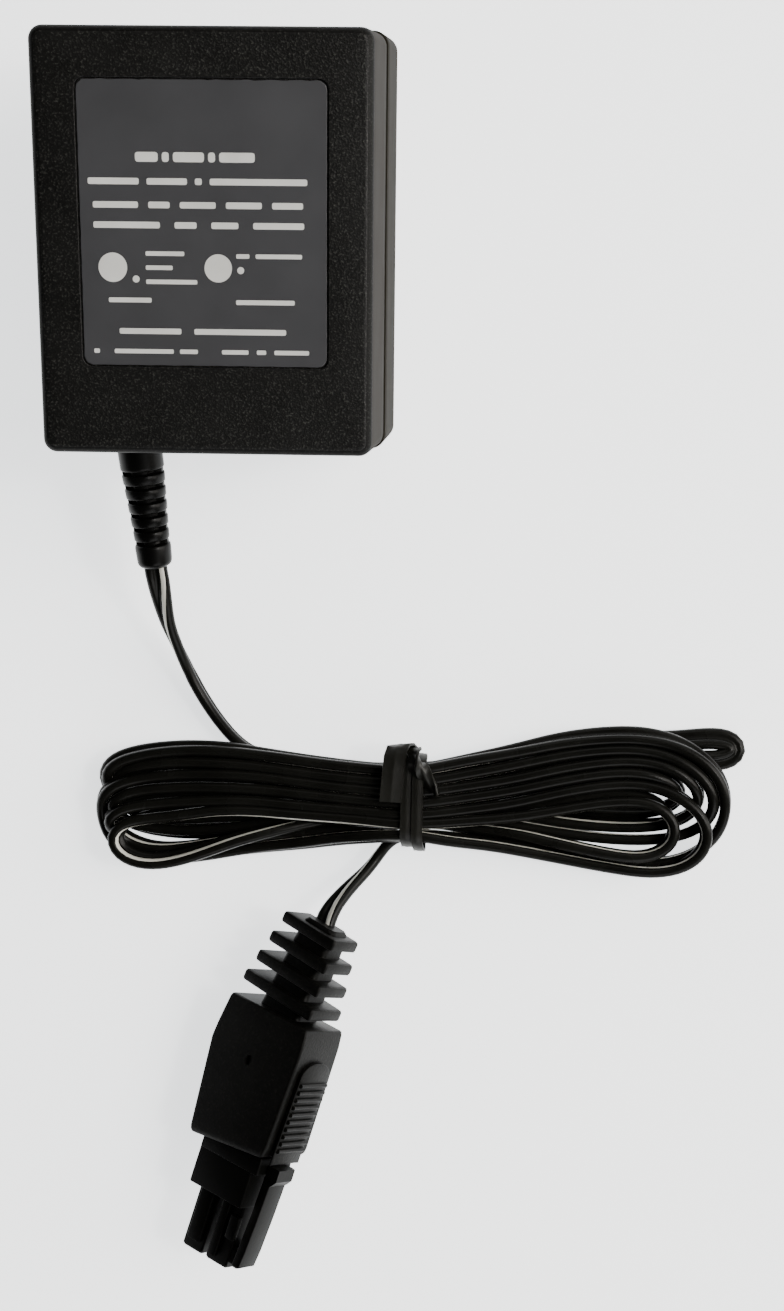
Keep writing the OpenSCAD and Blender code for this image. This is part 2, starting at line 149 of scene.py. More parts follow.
# Painted light: the latch arm is a lighter, more reflective copy of the same black nylon, standing in for its lit side.
M_LATCH_PAINTED_LIGHT = finish_mat("plug_latch_nylon_painted_light", (0.0014, 0.0014, 0.0011), 0.44, grain=0.4, scale=2600, depth=0.00005, vary=0.25,
                     level=0.09)
M_BLADE = finish_mat("blade_plating", (0.62, 0.58, 0.48), 0.24, grain=0.15, scale=300, depth=0.00003, vary=0.06,
                     metal=1.0, fibre=(1, 18, 1))
M_CARRIER = finish_mat("carrier_resin", (0.06, 0.055, 0.05), 0.5, grain=0.3, scale=1500, vary=0.2)
M_STEEL = finish_mat("core_steel", (0.36, 0.36, 0.38), 0.38, grain=0.7, scale=500, depth=0.00008, vary=0.1,
                     metal=1.0, fibre=(0.3, 6, 0.3))
M_BOBBIN = finish_mat("bobbin_nylon", (0.70, 0.68, 0.60), 0.5, grain=0.2, scale=1500, vary=0.06)
M_COPPER = finish_mat("winding_copper", (0.55, 0.24, 0.10), 0.32, grain=0.8, scale=900, depth=0.0001, vary=0.12,
                      metal=1.0, fibre=(0.15, 3, 0.15))
M_TAPE = finish_mat("tape_film", (0.76, 0.58, 0.08), 0.22, grain=0.2, scale=500, vary=0.06)
M_FUSE = finish_mat("fuse_epoxy", (0.60, 0.56, 0.44), 0.4, grain=0.2, scale=1200, vary=0.1)
M_TIN = finish_mat("tinned_pin", (0.62, 0.62, 0.60), 0.25, grain=0.15, scale=900, vary=0.05, metal=1.0)
M_WBLACK = finish_mat("wire_black", (0.015, 0.015, 0.015), 0.35, grain=0.1, scale=1200, vary=0.2)
M_WWHITE = finish_mat("wire_white", (0.68, 0.68, 0.65), 0.38, grain=0.1, scale=1200, vary=0.04)
M_CONTACT = finish_mat("contact_plating", (0.78, 0.62, 0.34), 0.26, grain=0.15, scale=1500, vary=0.08, metal=1.0)

NODE_MATS = {
    "blade_line": M_BLADE, "blade_neutral": M_BLADE, "blade_carrier": M_CARRIER, "core_e_stack": M_STEEL,
    "core_i_stack": M_STEEL, "bobbin": M_BOBBIN, "primary_winding": M_COPPER, "secondary_winding": M_COPPER,
    "primary_tape": M_TAPE, "secondary_tape": M_TAPE, "thermal_fuse": M_FUSE, "primary_terminals": M_TIN,
    "secondary_terminals": M_TIN, "lead_line": M_WBLACK, "lead_neutral": M_WWHITE, "lead_secondary_1": M_WBLACK,
    "lead_secondary_2": M_WWHITE, "plug_contact_1": M_CONTACT, "plug_contact_2": M_CONTACT,
}
for node, m in NODE_MATS.items():
    o = bpy.data.objects[node]
    if not o.data.materials:
        o.data.materials.append(m)
    for s in o.material_slots:
        s.material = m


# ---------------------------------------------------------------- mesh helpers
def make(name, verts, faces, mats, face_mats=None, angle=32, place=None):
    if place:
        verts = [place(v) for v in verts]
    me = bpy.data.meshes.new(name)
    me.from_pydata([tuple(c * MM for c in v) for v in verts], [], faces)
    for m in mats:
        me.materials.append(m)
    if face_mats:
        me.polygons.foreach_set("material_index", face_mats)
    bm = bmesh.new()
    bm.from_mesh(me)
    bmesh.ops.remove_doubles(bm, verts=bm.verts, dist=1e-8)
    bmesh.ops.recalc_face_normals(bm, faces=bm.faces)
    bm.to_mesh(me)
    bm.free()
    me.polygons.foreach_set("use_smooth", [True] * len(me.polygons))
    me.set_sharp_from_angle(angle=math.radians(angle))
    o = bpy.data.objects.new(name, me)
    bpy.context.scene.collection.objects.link(o)
    return o


def rr(w, h, r, n=6, cx=0.0, cy=0.0):
    """Rounded rectangle, counter-clockwise, 4 * (n + 1) points."""
    pts = []
    r = min(r, w / 2 - 1e-4, h / 2 - 1e-4)
    for k, (sx, sy) in enumerate(((1, 1), (-1, 1), (-1, -1), (1, -1))):
        for i in range(n + 1):
            a = math.radians(90 * k + 90 * i / n)
            pts.append((cx + sx * (w / 2 - r) + r * math.cos(a), cy + sy * (h / 2 - r) + r * math.sin(a)))
    return pts


def loft(rings, cap0=True, cap1=True, closed=True):
    """Rings are lists of 3-D points of one length."""
    n = len(rings[0])
    verts = [p for ring in rings for p in ring]
    faces = []
    for k in range(len(rings) - 1):
        for i in range(n if closed else n - 1):
            j = (i + 1) % n
            faces.append((k * n + i, k * n + j, (k + 1) * n + j, (k + 1) * n + i))
    if cap0:
        faces.append(tuple(range(n - 1, -1, -1)))
    if cap1:
        faces.append(tuple((len(rings) - 1) * n + i for i in range(n)))
    return verts, faces


def merge(parts):
    verts, faces, fm = [], [], []
    for p in parts:
        v, f = p[0], p[1]
        k = len(verts)
        verts += v
        faces += [tuple(i + k for i in q) for q in f]
        fm += [p[2] if len(p) > 2 else 0] * len(f)
    return verts, faces, fm


def bar(x0, x1, y0, y1, z0, z1, b=0.25):
    """A block with a small chamfer on all its edges, along z."""
    b = min(b, (x1 - x0) / 3, (y1 - y0) / 3, (z1 - z0) / 3)
    cx, cy, w, h = (x0 + x1) / 2, (y0 + y1) / 2, x1 - x0, y1 - y0
    rings = []
    for z, k in ((z0, b), (z0 + b * 0.3, b * 0.3), (z0 + b, 0), (z1 - b, 0), (z1 - b * 0.3, b * 0.3), (z1, b)):
        rings.append([(x, y, z) for x, y in rr(w - 2 * k, h - 2 * k, max(b - k * 0.5, 0.05), 3, cx, cy)])
    return loft(rings)


def cut(obj, cutter):
    mod = obj.modifiers.new("cut", "BOOLEAN")
    mod.operation = "DIFFERENCE"
    mod.solver = "EXACT"
    mod.object = cutter
    bpy.context.view_layer.update()
    dg = bpy.context.evaluated_depsgraph_get()
    me = bpy.data.meshes.new_from_object(obj.evaluated_get(dg))
    obj.modifiers.clear()
    old = obj.data
    obj.data = me
    bpy.data.meshes.remove(old)
    cm = cutter.data
    bpy.data.objects.remove(cutter)
    bpy.data.meshes.remove(cm)
    me.set_sharp_from_angle(angle=math.radians(32))


def place_piece(o, slot, *nodes):
    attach(o, "root")
    if nodes:
        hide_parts(*nodes)
    return o


# ---------------------------------------------------------------- cord: route
CT, CW = 2.0, 4.2            # thickness and width of the flat cord
LOW, UP = 2.14, 6.36         # middle heights of the two layers
TIE_LOW, TIE_UP = 2.72, 6.94  # a little higher where the tie passes below


def yrow(i):
    """Height across the table of column i at the tie."""
    return -91.85 - 1.97 * i - (0.25 if i == 6 else 0)


# each strand right of the tie, from x = 34.4 outwards: x, y, z (upper strands u, lower strands l)
def fan(col, up, pts):
    return [(34.4, yrow(col), TIE_UP if up else TIE_LOW, 84 if col == 5 else 100)] + pts


RIGHT = {
    # rear small loop, both legs in the lower layer; it lies nearly flat
    ("L0", "L1"): fan(0, 0, [(44, -90.6, LOW, 95), (54, -88.4, LOW, 105), (64, -86.4, LOW, 115), (74, -85.7, 2.0, 128), (82, -85.7, 1.7, 145),
        (87.6, -85.2, 1.5, 155), (91.4, -85.0, 1.4, 160), (93.9, -85.5, 1.4, 160), (94.9, -87.1, 1.4, 160), (93.7, -88.8, 1.4, 160),
        (91.2, -89.3, 1.4, 157), (88.2, -89.2, 1.5, 150),
        (84, -89.1, 1.8, 135), (76, -89.2, LOW, 115), (64, -89.6, LOW, 100), (54, -90.9, LOW, 95), (44, -92.8, LOW, 92)]),
    # the long rear ridge, round the whole right end and back below the front
    ("U0", "L6"): fan(0, 1, [(44.4, -89.8, UP, 102), (52.8, -88.0, UP, 112), (61.2, -86.0, UP, 124), (69.6, -84.9, UP, 130), (76.2, -84.8, UP, 130),
        (81.6, -85.8, UP, 122), (86.6, -88.2, UP, 112), (90.4, -92.0, 6.1, 106), (91.8, -96.6, 5.2, 100), (91.3, -101.0, 4.0, 98), (89.0, -104.6, 2.8, 95),
        (85.2, -107.2, LOW, 92), (80, -108.5, LOW, 90), (74, -108.3, LOW, 90), (64, -106.8, LOW, 90), (54, -105.3, LOW, 90), (44, -104.5, LOW, 90)]),
    ("U1", "L4"): fan(1, 1, [(44.4, -92.1, UP, 102), (52.8, -90.3, UP, 106), (61.2, -88.3, UP, 112), (69.6, -87.1, UP, 114), (76, -87.0, UP, 114),
        (81.6, -88.2, UP, 112), (86.2, -90.8, UP, 110), (89.2, -94.4, 6.0, 106), (89.8, -98.0, 5.0, 102), (87.8, -101.4, 3.4, 98), (83.4, -103.4, LOW, 94),
        (78, -104.1, LOW, 92), (70, -104.0, LOW, 92), (62, -103.1, LOW, 92), (53, -101.8, LOW, 92), (44, -100.5, LOW, 92)]),
    ("U2", "L3"): fan(2, 1, [(44.4, -94.3, UP, 102), (52.8, -92.7, UP, 106), (61.2, -90.6, UP, 112), (69.6, -89.2, UP, 114), (76, -89.0, UP, 114),
        (81.4, -90.2, UP, 112), (85.4, -92.7, 6.0, 110), (87.3, -95.8, 4.8, 104), (86.2, -98.9, 3.2, 94), (82.2, -100.8, LOW, 84), (76, -101.5, LOW, 76),
        (68, -101.4, LOW, 76), (60, -100.7, LOW, 80), (52, -99.5, LOW, 86), (44, -98.4, LOW, 90)]),
    ("U3", "L2"): fan(3, 1, [(44.4, -96.4, UP, 102), (52.8, -94.9, UP, 106), (61.2, -92.9, UP, 112), (69.6, -91.4, UP, 114), (76, -91.2, UP, 114),
        (80.3, -92.3, 6.1, 114), (83.4, -94.2, 4.8, 112), (83.8, -96.6, 3.4, 108), (80.6, -98.3, 2.4, 108), (75, -98.9, LOW, 112), (68, -98.8, LOW, 112),
        (60, -98.2, LOW, 106), (52, -97.3, LOW, 98), (44, -96.4, LOW, 92)]),
    # two open loops in front
    ("U4", "U6"): fan(4, 1, [(44.4, -98.6, UP, 102), (52.8, -97.2, UP, 106), (61.2, -95.1, UP, 112), (69.6, -93.6, UP, 112), (76.5, -93.4, UP, 110),
        (82.2, -95.1, UP, 102), (86.3, -98.1, 6.2, 94), (88.4, -102.0, 5.8, 86), (87.5, -105.9, 5.6, 82), (84.0, -108.6, 5.4, 81), (78.4, -109.7, 5.0, 81),
        (70, -108.9, 5.0, 84), (60.5, -107.4, 5.2, 87), (49, -105.5, 5.8, 89), (41, -104.8, 6.6, 94)]),
    ("U5", "L5"): fan(5, 1, [(44.4, -100.8, UP, 92), (52.8, -99.7, UP, 104), (61.2, -98.0, UP, 120), (68, -96.6, UP, 130), (74.2, -96.1, UP, 129),
        (78.9, -96.9, UP, 113), (81.6, -99.4, 6.2, 94), (82.7, -102.2, 6.0, 86), (81.0, -105.3, 6.0, 84), (76.8, -107.0, 6.1, 86), (70.4, -106.5, 6.2, 87),
        (61.5, -104.8, 5.9, 88), (53, -103.2, 4.6, 90), (44, -102.4, 3.0, 90)]),
}
# each strand left of the tie
LEFT = {
    ("L1", "U1"): [(26, -93.4, LOW, 90), (16, -93.6, LOW, 90), (6, -94.2, LOW, 92), (-4, -95.2, LOW, 95), (-12, -96.6, LOW, 98), (-17.8, -97.2, LOW, 104),
        (-21.6, -95.8, 3.2, 112), (-21.9, -93.4, 4.8, 118), (-18, -91.8, 6.0, 120), (-12, -90.8, UP, 120), (-4, -90.7, UP, 116), (6, -91.3, UP, 110),
        (16, -92.6, UP, 106), (26, -93.6, UP, 102), (34.4, yrow(1), TIE_UP, 92)],
    ("L4", "U5"): [(27, -100.2, LOW, 98), (20, -101.4, 2.3, 98), (14, -102.6, 3.3, 92), (8, -103.8, 5.2, 82), (2, -105.2, 6.2, 72), (-4.3, -107.5, UP, 66),
        (-9.2, -109.0, UP, 62), (-13.3, -109.7, UP, 60), (-17.2, -109.2, UP, 58), (-20.2, -107.4, UP, 60), (-21.1, -104.7, UP, 70), (-19.0, -102.6, UP, 88),
        (-14.6, -101.5, UP, 104), (-9, -100.8, UP, 106), (-3, -100.0, UP, 96), (4.2, -100.0, UP, 84), (13, -100.7, UP, 76), (23, -101.2, UP, 76),
        (34.4, yrow(5), TIE_UP, 82)],
    ("L5", "U4"): [(26, -102.9, LOW, 98), (16, -103.8, LOW, 98), (6, -105.1, LOW, 96), (-2, -106.2, LOW, 94), (-8, -107.2, LOW, 90), (-12.5, -107.6, LOW, 86),
        (-16.8, -107.0, LOW, 82), (-20.0, -105.4, 2.6, 84), (-22.3, -103.4, 4.0, 98), (-22.6, -101.4, 5.4, 116), (-19.4, -99.7, UP, 114), (-12, -98.4, UP, 118),
        (-4, -97.8, UP, 116), (4.2, -97.7, UP, 110), (13, -98.4, UP, 106), (23, -99.1, UP, 102), (34.4, yrow(4), TIE_UP, 92)],
    ("U6", "U2"): [(28, -104.2, 6.2, 108), (20.9, -104.9, 4.8, 110), (12.9, -106.0, 2.9, 106), (4.9, -107.1, LOW, 100), (-4, -108.6, LOW, 90), (-12, -109.5, LOW, 88),
        (-17.6, -108.9, LOW, 86), (-21.4, -106.2, LOW, 88), (-23.2, -102.6, 2.4, 94), (-23.5, -98.7, 4.0, 104), (-21.6, -95.5, 5.6, 114), (-16.6, -94.0, UP, 120),
        (-10, -93.1, UP, 118), (-3, -92.9, UP, 116), (6, -93.3, UP, 110), (16, -94.4, UP, 106), (26, -95.4, UP, 102), (34.4, yrow(2), TIE_UP, 92)],
    ("L3", "U3"): [(26, -98.6, LOW, 92), (16, -100.4, LOW, 96), (6, -102.7, LOW, 104), (-2, -104.1, LOW, 114), (-8, -104.5, LOW, 114), (-13.6, -104.1, LOW, 112),
        (-18.4, -103.1, 2.3, 108), (-21.7, -101.3, 3.6, 112), (-22.4, -98.8, 5.2, 120), (-17.8, -96.5, 6.2, 118), (-11, -95.6, UP, 118), (-4, -95.3, UP, 116),
        (6, -95.6, UP, 110), (16, -96.5, UP, 106), (26, -97.4, UP, 102), (34.4, yrow(3), TIE_UP, 92)],
    ("L2", "U0"): [(26, -95.8, LOW, 90), (16, -98.0, LOW, 92), (6, -100.7, LOW, 98), (-4, -102.0, LOW, 108), (-12, -102.2, LOW, 110), (-18.6, -100.7, LOW, 104),
        (-22.2, -97.4, 2.8, 104), (-23.2, -94.6, 4.4, 112), (-21.6, -91.8, 5.8, 118), (-18, -90.2, UP, 120), (-13.4, -89.2, UP, 118), (-7.5, -88.6, UP, 116),
        (0.7, -88.8, UP, 112), (8.7, -89.9, UP, 104), (18.7, -91.1, UP, 103), (28, -91.8, UP, 101), (34.4, yrow(0), TIE_UP, 92)],
}
ORDER = ["L0", "L1", "U1", "L4", "U5", "L5", "U4", "U6", "U2", "L3", "U3", "L2", "U0", "L6"]

lead = [(-12.6, -53.4, 15.8, 0), (-12.75, -55.6, 15.0, 0), (-12.4, -58.2, 13.9, 6), (-11.9, -62.0, 11.7, 36), (-11.2, -66.0, 9, 64),
    (-9.9, -69.6, 6.4, 80), (-7.7, -74.8, 3.7, 90), (-4.7, -80.2, 2.3, 92), (-1.1, -85.0, LOW, 92), (3.0, -88.8, LOW, 92),
    (9.5, -90.9, LOW, 92), (18, -91.6, LOW, 90), (26, -91.9, LOW, 90)]
tail = [(30.2, -104.7, 2.5, 90), (28.4, -107.6, 2.4, 90), (26, -110.6, 3.4, 86), (22.9, -113.6, 5.6, 74), (20.6, -116.2, 7.9, 58),
    (19.2, -118.6, 9.3, 40), (18.5, -120.8, 9.9, 32)]

pts = list(lead)
for k in range(0, len(ORDER), 2):
    a, b = ORDER[k], ORDER[k + 1]
    seq = RIGHT[(a, b)] if (a, b) in RIGHT else RIGHT[(b, a)][::-1]
    pts += list(seq)
    if k + 2 < len(ORDER):
        c = ORDER[k + 2]
        up = b[0] == "U"
        pts.append((34.4, yrow(int(b[1])), TIE_UP if up else TIE_LOW, 100))
        seq = LEFT[(b, c)] if (b, c) in LEFT else LEFT[(c, b)][::-1]
        pts += list(seq[:-1])
    else:
        pts.append((34.4, yrow(int(b[1])), TIE_LOW, 90))
pts += tail
ctrl = [pts[0]]
for p in pts[1:]:
    if math.dist(p[:3], ctrl[-1][:3]) > 0.6:
        ctrl.append(p)
ctrl = np.array(ctrl, float)


def spline(c, step):
    """Centripetal Catmull-Rom curve through the points, sampled at an even step."""
    c = np.vstack([2 * c[0] - c[1], c, 2 * c[-1] - c[-2]])
    out = []
    for i in range(1, len(c) - 2):
        p0, p1, p2, p3 = c[i - 1], c[i], c[i + 1], c[i + 2]
        t0 = 0.0
        t1 = t0 + math.sqrt(max(np.linalg.norm((p1 - p0)[:3]), 1e-6))
        t2 = t1 + math.sqrt(max(np.linalg.norm((p2 - p1)[:3]), 1e-6))
        t3 = t2 + math.sqrt(max(np.linalg.norm((p3 - p2)[:3]), 1e-6))
        for t in np.linspace(t1, t2, 24, endpoint=False):
            a1 = (t1 - t) / (t1 - t0) * p0 + (t - t0) / (t1 - t0) * p1
            a2 = (t2 - t) / (t2 - t1) * p1 + (t - t1) / (t2 - t1) * p2
            a3 = (t3 - t) / (t3 - t2) * p2 + (t - t2) / (t3 - t2) * p3
            b1 = (t2 - t) / (t2 - t0) * a1 + (t - t0) / (t2 - t0) * a2
            b2 = (t3 - t) / (t3 - t1) * a2 + (t - t1) / (t3 - t1) * a3
            out.append((t2 - t) / (t2 - t1) * b1 + (t - t1) / (t2 - t1) * b2)
    out.append(c[-2])
    out = np.array(out)
    d = np.concatenate([[0], np.cumsum(np.linalg.norm(np.diff(out[:, :3], axis=0), axis=1))])
    n = int(round(d[-1] / step))
    s = np.linspace(0, d[-1], n + 1)
    return np.stack([np.interp(s, d, out[:, k]) for k in range(out.shape[1])], axis=1)


def settle(p, rounds):
    """Strands that touch push each other apart, sideways by their thickness and upwards by their width."""
    q = p[:, :3].copy()
    home = q.copy()
    n = len(q)
    idx = np.arange(n)
    near = np.abs(idx[:, None] - idx[None, :]) < 9
    free = np.ones(n)
    free[:26] = 0
    free[-14:] = 0
    held = np.abs(q[:, 0] - 34.4) < 3.2
    sc = np.array([1, 1, CT / CW])
    rest = CT / 2 + (CW - CT) / 2 * np.abs(np.sin(np.radians(p[:, 3]))) + 0.03
    for r in range(rounds):
        s = q * sc
        d = s[:, None, :] - s[None, :, :]
        dist = np.sqrt((d ** 2).sum(axis=2)) + 1e-9
        gap = (CT - 0.06) - dist
        gap[near] = 0
        gap[gap < 0] = 0
        push = (d / dist[:, :, None] * gap[:, :, None]).sum(axis=1) * 0.45
        push[:, 2] *= CW / CT
        push = np.clip(push, -0.25, 0.25)
        for _ in range(3):
            push[1:-1] = push[1:-1] * 0.4 + (push[:-2] + push[2:]) * 0.3
        lap = np.zeros_like(q)
        lap[1:-1] = (q[:-2] + q[2:]) / 2 - q[1:-1]
        lap[2:-2] = lap[2:-2] * 0.12 - (q[:-4] - 4 * q[1:-3] + 6 * q[2:-2] - 4 * q[3:-1] + q[4:]) * 0.10
        move = push + lap * 0.6 + (home - q) * 0.05
        move[held] *= 0.12
        q += move * free[:, None]
        q[:, 2] = np.maximum(q[:, 2], np.where(free > 0, rest, 0))
    for _ in range(3):
        q[5:-5] = q[5:-5] * 0.5 + (q[4:-6] + q[6:-4]) * 0.25
    out = p.copy()
    out[:, :3] = q
    return out


path = spline(ctrl, 1.25)
path = settle(path, 60)


def cord_section():
    """Two round cores side by side; the pale stripe lies on one flank of the first."""
    r = CT / 2
    c = CW / 2 - r
    ang = [32, 50, 68, 85, 101, 118, 138, 159, 180, 201, 222, 243, 264, 286, 308, 328]
    one = [(-c + r * math.cos(math.radians(a)), r * math.sin(math.radians(a))) for a in ang]
    # the other core, on the + side, continues round from the far side of the web
    two = [(c - r * math.cos(math.radians(a)), r * math.sin(math.radians(a))) for a in ang][::-1]
    return one + two, {2, 3, 4}


SEC, STRIPE = cord_section()
rings, fm = [], []
tan = np.gradient(path[:, :3], axis=0)
tan /= np.linalg.norm(tan, axis=1)[:, None]
for i in range(len(path)):
    t = Vector(tan[i])
    side = t.cross(Vector((0, 0, 1)))
    side.normalize()
    up = side.cross(t)
    a = math.radians(path[i, 3])
    if 20 < i < len(path) - 24:
        a += math.radians(3.0) * math.sin(i * 0.031) + math.radians(3.0) * math.sin(i * 0.083 + 1.3)
    w = side * math.cos(a) - up * math.sin(a)
    nn = side * math.sin(a) + up * math.cos(a)
    c = Vector(path[i, :3])
    rings.append([tuple(c + w * u + nn * v) for u, v in SEC])
verts, faces = loft(rings)
n = len(SEC)
fm = [1 if (k % n) in STRIPE else 0 for k in range((len(rings) - 1) * n)] + [0, 0]
cord = make("cord_run", verts, faces, [M_CORD, M_STRIPE], fm, angle=50)
place_piece(cord, "cord", "cord_lead", "cord_hank", "cord_tail")

# ---------------------------------------------------------------- case
TILT = 15.942857
TC, TS = math.cos(math.radians(TILT)), math.sin(math.radians(TILT))
SY, SZ = 4.6080, 9.7950


def W(p):
    x, y, z = p
    return (x, SY + y * TC - z * TS, SZ + y * TS + z * TC)


FW, FH, DEPTH, SEAM = 54.0, 66.4, 44.0, 23.0
TAN = math.tan(math.radians(3.2))


def grow(z):
    return (DEPTH - z) * TAN


def case_ring(z, inset=0.0, extra=0.0, n=8):
    g = grow(z) + extra - inset
    rad = 2.2 + (DEPTH - z) / DEPTH * 0.5
    return [(x, y, z) for x, y in rr(FW + 2 * g, FH + 2 * g, max(rad - inset, 0.35), n)]


LW, LH, LY = 39.4, 44.2, 3.2
ER = 1.45


def flat_ring(w, h, r, z, cy=0.0, n=8):
    return [(x, y, z) for x, y in rr(w, h, r, n, 0, cy)]


front = [case_ring(41.6, 2.2), case_ring(SEAM, 2.2), case_ring(SEAM, 0.35), case_ring(SEAM + 0.1, 0.1), case_ring(SEAM + 0.3, 0)]
front += [case_ring(z) for z in (27, 32, 37, 40, DEPTH - ER - 0.05)]
for k in range(1, 10):
    a = math.radians(10 * k)
    front.append(case_ring(DEPTH - ER + ER * math.sin(a), ER * (1 - math.cos(a))))
front += [flat_ring(LW + 0.62, LH + 0.62, 1.7, DEPTH, LY), flat_ring(LW + 0.5, LH + 0.5, 1.65, DEPTH - 0.06, LY),
    flat_ring(LW + 0.46, LH + 0.46, 1.6, DEPTH - 0.45, LY)]
v, f = loft(front)
nseg = 36
fmat = []
# The walls and inside take the lighter copy with painted reflection (index 1), the front fillet takes the darker copy
# with painted shade (index 2), and the face takes the plain case plastic (index 0).
for k in range(len(front) - 1):
    fmat += [1 if k < 10 else 2 if k < 16 else 0] * nseg
fmat += [1, 0]
case_front = make("case_front", v, f, [M_CASE, M_SIDE_PAINTED_REFLECTION, M_EDGE_PAINTED_SHADE], fmat, angle=28, place=W)

RR_ = 2.6
rear = [case_ring(2.2, 2.4), case_ring(SEAM - 0.06, 2.4, 0.25), case_ring(SEAM - 0.06, 0.3, 0.25), case_ring(SEAM - 0.14, 0.08, 0.25),
    case_ring(SEAM - 0.32, 0, 0.25)]
rear += [case_ring(z, 0, 0.25 * z / SEAM) for z in (19, 14, 9, 5, RR_ + 0.05)]
for k in range(1, 10):
    a = math.radians(10 * k)
    rear.append(case_ring(RR_ - RR_ * math.sin(a), RR_ * (1 - math.cos(a)) * 0.96))
v, f = loft(rear)
case_rear = make("case_rear", v, f, [M_REAR_PAINTED_REFLECTION], None, angle=28, place=W)

# blade slots in the wall face
for bx, bw in ((-6.35, 6.35), (6.35, 7.9)):
    vv, ff = bar(bx - 0.95, bx + 0.95, 26.6 - bw / 2 - 0.2, 26.6 + bw / 2 + 0.2, -1.5, 4.0, 0.15)
    cut(case_rear, make("cutter", vv, ff, [M_REAR_PAINTED_REFLECTION], None, place=W))

# round opening for the strain relief, half in each shell
RA = Vector((-14.9, -34.76, 22.47))
RB = Vector((-12.75, -55.0, 15.5))
RAX = (RB - RA).normalized()
RU = RAX.cross(Vector((1, 0, 0))).normalized()
if RU.z < 0:
    RU = -RU
RV = RU.cross(RAX).normalized()


def rel(s, ang, r):
    sag = -0.35 * math.sin(math.pi * max(0, min(1, s / 21.5)))
    c = RA + RAX * s + RU * sag
    return tuple(c + RV * (r * math.cos(ang)) + RU * (r * math.sin(ang)))


def hole():
    rings_ = [[rel(s, 2 * math.pi * i / 40, 4.1) for i in range(40)] for s in (-5.0, 2.5)]
    v_, f_ = loft(rings_)
    return make("cutter", v_, f_, [M_CASE], None)


cut(case_front, hole())
cut(case_rear, hole())
place_piece(case_front, "front_cover", "front_cover")
place_piece(case_rear, "rear_cover", "rear_cover")

# ---------------------------------------------------------------- label and its plain print
def label_ring(z, inset):
    pts_ = rr(LW - 2 * inset, LH - 2 * inset, 1.5, 8, 0, LY)
    dense = []
    for i in range(len(pts_)):
        a_, b_ = pts_[i], pts_[(i + 1) % len(pts_)]
        d_ = math.dist(a_, b_)
        m_ = max(1, int(d_ / 1.2)) if d_ > 2 else 1
        for j in range(m_):
            t_ = j / m_
            dense.append((a_[0] + (b_[0] - a_[0]) * t_, a_[1] + (b_[1] - a_[1]) * t_))
    res = []
    for i, (x, y) in enumerate(dense):
        k_ = 0.03 * math.sin(i * 1.7) + (0.05 * math.sin(i * 4.3 + 1) + 0.04 * math.sin(i * 2.9) if y > LY + LH / 2 - 0.3 else 0.0)
        L_ = math.hypot(x, y - LY)
        res.append((x - x / L_ * (0.08 + k_), y - (y - LY) / L_ * (0.08 + k_), z))
    return res


v, f = loft([label_ring(DEPTH - 0.45, 0), label_ring(DEPTH - 0.2, 0), label_ring(DEPTH - 0.15, 0.06)])
label = make("label_plate", v, f, [M_LABEL], None, angle=25, place=W)
place_piece(label, "rating_label", "rating_label")

ZP = DEPTH - 0.151
marks = []


def dash(x0, x1, y, h):
    ring0 = [(x, y_, ZP) for x, y_ in rr(x1 - x0, h, h * 0.28, 3, (x0 + x1) / 2, y)]
    ring1 = [(x, y_, ZP + 0.02) for x, y_ in rr(x1 - x0, h, h * 0.28, 3, (x0 + x1) / 2, y)]
    marks.append(loft([ring0, ring1]))


def row(y, h, x0, groups, gap):
    x = x0
    for g in groups:
        dash(x, x + g, y, h)
        x += g + gap


row(13.6, 1.5, -10.6, [3.6, 1.1, 4.9, 1.1, 5.6], 0.65)
row(9.9, 1.0, -18.2, [8.1, 6.4, 1.1, 15.4], 1.25)
row(6.3, 1.0, -17.5, [7.2, 3.4, 5.7, 5.7, 4.9], 1.62)
row(3.2, 1.0, -17.5, [10.6, 3.5, 4.3, 8.1], 2.35)
row(-1.2, 0.7, -9.3, [6.2], 1)
row(-3.4, 0.7, -9.3, [4.3], 1)
row(-5.6, 0.7, -9.3, [8.2], 1)
row(-1.5, 0.7, 5.2, [2.1, 7.4], 1)
row(-8.5, 0.75, -15.4, [6.9], 1)
row(-8.7, 0.75, 5.1, [9.4], 1)
row(-13.4, 0.9, -13.8, [10.0, 14.8], 2.1)
row(-16.6, 0.7, -18.0, [0.9], 1.4)
row(-16.6, 0.7, -14.7, [9.6, 2.9], 1.0)
row(-16.6, 0.7, 2.7, [4.3, 1.5, 5.6], 1.35)
# two plain discs and two dots
for cx, cy, cr in ((-14.6, -3.4, 2.3), (2.3, -3.4, 2.2), (-10.9, -5.2, 0.55), (5.9, -3.7, 0.55)):
    circle = [(cx + cr * math.cos(2 * math.pi * i / 40), cy + cr * math.sin(2 * math.pi * i / 40)) for i in range(40)]
    marks.append(loft([[(x, y, ZP) for x, y in circle], [(x, y, ZP + 0.02) for x, y in circle]]))
v, f, _ = merge(marks)
ink = make("label_print", v, f, [M_PRINT], None, place=W)
place_piece(ink, "rating_label")

# ---------------------------------------------------------------- strain relief
def prof(s):
    tab = ((0, 3.95), (4.0, 3.9), (17.6, 3.12), (18.8, 3.24), (21.3, 3.12), (21.8, 2.95), (22.15, 2.6), (22.4, 2.1))
    for (a_, ra), (b_, rb) in zip(tab, tab[1:]):
        if s <= b_:
            return ra + (rb - ra) * (s - a_) / (b_ - a_)
    return tab[-1][1]


